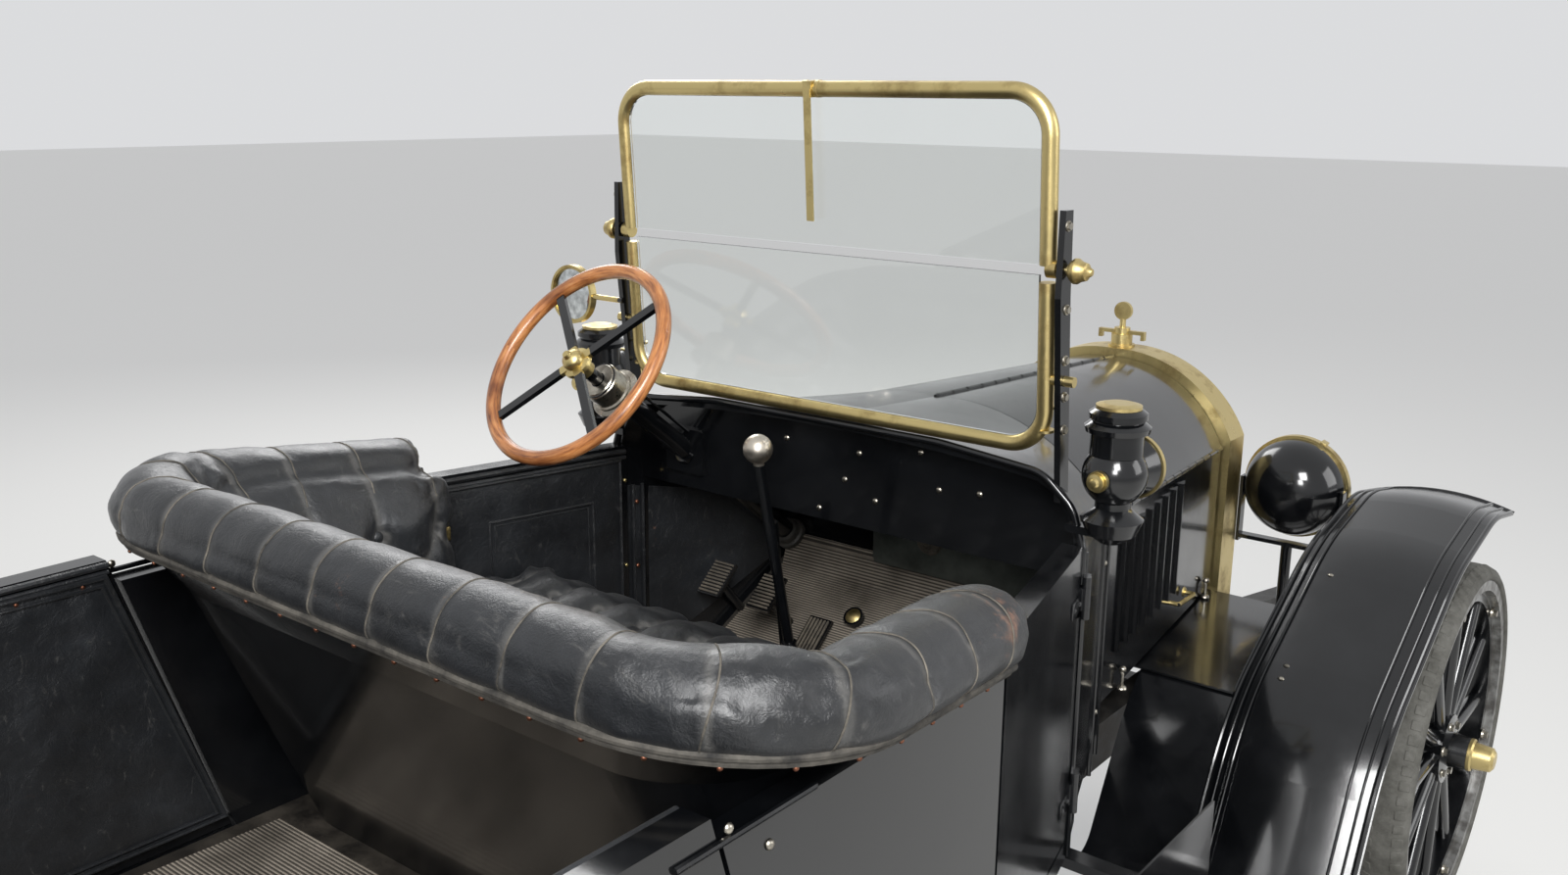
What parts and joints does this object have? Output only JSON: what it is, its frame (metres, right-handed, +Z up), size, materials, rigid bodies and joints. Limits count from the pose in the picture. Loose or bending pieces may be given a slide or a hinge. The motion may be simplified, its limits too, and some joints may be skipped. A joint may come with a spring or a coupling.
{
  "type": "brass era car",
  "caption": "Open touring car of the brass era with hinged doors, louvred bonnet, folding windscreen, wooden wheels and linked steering.",
  "frame": {"origin": "on the ground, below the middle of the car's overall length and width", "axes": "+X to the car's left, -Y to its front, +Z up"},
  "size_m": [1.748, 3.736, 1.7895],
  "materials": {
    "body_black": "glossy black coach paint",
    "chassis_black": "satin black",
    "cast_engine": "dull",
    "brass_aged": "satin, aged",
    "radiator_black": "matt black",
    "floor_boards": "dark painted boards",
    "iron_black": "worn black",
    "clear_glass": "clear",
    "leather_black": "worn, slightly glossy",
    "rim_wood": "varnished",
    "wheel_black": "black painted wood",
    "tyre_grey": "worn grey"
  },
  "bodies": {
    "car_body": {"chassis_frame": "chassis_black", "axles_and_springs": "chassis_black", "engine_and_exhaust": "cast_engine", "radiator_shell": "brass_aged", "radiator_core": "radiator_black", "scuttle": "body_black", "floor": "floor_boards", "controls": "iron_black", "windscreen_lower": "brass_aged", "windscreen_glass_lower": "clear_glass", "body_sides": "body_black", "front_seat_shell": "body_black", "front_seat_cushion": "leather_black", "front_seat_back": "leather_black", "rear_tub": "body_black", "rear_seat_cushion": "leather_black", "rear_seat_back": "leather_black", "wings": "body_black", "lamps": "body_black", "lamp_rims": "brass_aged", "lamp_glass": "clear_glass"},
    "front_door_left": {"door_front_left": "body_black"},
    "rear_door_left": {"door_rear_left": "body_black"},
    "bonnet_leaf_left": {"bonnet_top_left": "body_black"},
    "bonnet_flap_left": {"bonnet_side_left": "body_black"},
    "steering_knuckle_left": {"knuckle_left": "chassis_black"},
    "front_door_right": {"door_front_right": "body_black"},
    "rear_door_right": {"door_rear_right": "body_black"},
    "bonnet_leaf_right": {"bonnet_top_right": "body_black"},
    "bonnet_flap_right": {"bonnet_side_right": "body_black"},
    "steering_knuckle_right": {"knuckle_right": "chassis_black"},
    "screen_upper_half": {"windscreen_upper": "brass_aged", "windscreen_glass_upper": "clear_glass"},
    "steering_wheel": {"steering_rim": "rim_wood", "steering_spider": "brass_aged"},
    "track_and_drag_rods": {"steering_links": "chassis_black"},
    "steering_drop_arm": {"drop_arm": "chassis_black"},
    "road_wheel_front_left": {"wheel_front_left": "wheel_black", "tyre_front_left": "tyre_grey"},
    "road_wheel_front_right": {"wheel_front_right": "wheel_black", "tyre_front_right": "tyre_grey"},
    "road_wheel_rear_left": {"wheel_rear_left": "wheel_black", "tyre_rear_left": "tyre_grey"},
    "road_wheel_rear_right": {"wheel_rear_right": "wheel_black", "tyre_rear_right": "tyre_grey"}
  },
  "joints": [
    {"name": "front_door_left_hinge", "type": "hinge", "parent": "car_body", "child": "front_door_left", "pos_m": [0.5005, -0.23, 0.88], "axis": [0, 0, 1], "range_deg": [-70, 0]},
    {"name": "rear_door_left_hinge", "type": "hinge", "parent": "car_body", "child": "rear_door_left", "pos_m": [0.5985, 1.06, 0.94], "axis": [0, 0, 1], "range_deg": [0, 65]},
    {"name": "bonnet_leaf_left_hinge", "type": "hinge", "parent": "car_body", "child": "bonnet_leaf_left", "pos_m": [0, -0.9695, 1.2025], "axis": [0, 0.9992, 0.0412], "range_deg": [-80, 0]},
    {"name": "bonnet_flap_left_hinge", "type": "hinge", "parent": "bonnet_leaf_left", "child": "bonnet_flap_left", "pos_m": [0.3185, -0.9695, 1.0345], "axis": [0.1226, 0.991, 0.054], "range_deg": [-32, 0]},
    {"name": "front_door_right_hinge", "type": "hinge", "parent": "car_body", "child": "front_door_right", "pos_m": [-0.5005, -0.23, 0.88], "axis": [0, 0, 1], "range_deg": [0, 70]},
    {"name": "rear_door_right_hinge", "type": "hinge", "parent": "car_body", "child": "rear_door_right", "pos_m": [-0.5985, 1.06, 0.94], "axis": [0, 0, 1], "range_deg": [-65, 0]},
    {"name": "bonnet_leaf_right_hinge", "type": "hinge", "parent": "car_body", "child": "bonnet_leaf_right", "pos_m": [0, -0.9695, 1.2025], "axis": [0, 0.9992, 0.0412], "range_deg": [0, 80]},
    {"name": "bonnet_flap_right_hinge", "type": "hinge", "parent": "bonnet_leaf_right", "child": "bonnet_flap_right", "pos_m": [-0.3185, -0.9695, 1.0345], "axis": [-0.1226, 0.991, 0.054], "range_deg": [0, 32]},
    {"name": "windscreen_fold", "type": "hinge", "parent": "car_body", "child": "screen_upper_half", "pos_m": [0, -0.21379, 1.527], "axis": [1, 0, 0], "range_deg": [0, 90]},
    {"name": "steer_left", "type": "hinge", "parent": "car_body", "child": "steering_knuckle_left", "pos_m": [0.69, -1.462, 0.406], "axis": [0, 0, 1], "range_deg": [-30, 30]},
    {"name": "steer_right", "type": "hinge", "parent": "car_body", "child": "steering_knuckle_right", "pos_m": [-0.69, -1.462, 0.406], "axis": [0, 0, 1], "range_deg": [-30, 30]},
    {"name": "rods_pivot", "type": "hinge", "parent": "steering_knuckle_left", "child": "track_and_drag_rods", "pos_m": [0.69, -1.312, 0.371], "axis": [0, 0, 1], "range_deg": [-30, 30]},
    {"name": "drop_arm_pivot", "type": "hinge", "parent": "car_body", "child": "steering_drop_arm", "pos_m": [0.38, -1.0225, 0.427], "axis": [0, 0, 1], "range_deg": [-30, 30]},
    {"name": "steering_wheel_turn", "type": "hinge", "parent": "car_body", "child": "steering_wheel", "pos_m": [0.361, -0.0155, 1.321], "axis": [0.061, 0.7811, 0.6214], "range_deg": [-120, 120]},
    {"name": "wheel_front_left_spin", "type": "hinge", "parent": "steering_knuckle_left", "child": "road_wheel_front_left", "pos_m": [0.762, -1.462, 0.406], "axis": [1, 0, 0], "continuous": true},
    {"name": "wheel_front_right_spin", "type": "hinge", "parent": "steering_knuckle_right", "child": "road_wheel_front_right", "pos_m": [-0.762, -1.462, 0.406], "axis": [1, 0, 0], "continuous": true},
    {"name": "wheel_rear_left_spin", "type": "hinge", "parent": "car_body", "child": "road_wheel_rear_left", "pos_m": [0.762, 1.408, 0.406], "axis": [1, 0, 0], "continuous": true},
    {"name": "wheel_rear_right_spin", "type": "hinge", "parent": "car_body", "child": "road_wheel_rear_right", "pos_m": [-0.762, 1.408, 0.406], "axis": [1, 0, 0], "continuous": true}
  ],
  "couplings": [
    {"joint": "steer_right", "follows": "steer_left", "ratio": 1},
    {"joint": "rods_pivot", "follows": "steer_left", "ratio": -1},
    {"joint": "drop_arm_pivot", "follows": "steer_left", "ratio": 1},
    {"joint": "steering_wheel_turn", "follows": "steer_left", "ratio": 4}
  ]
}
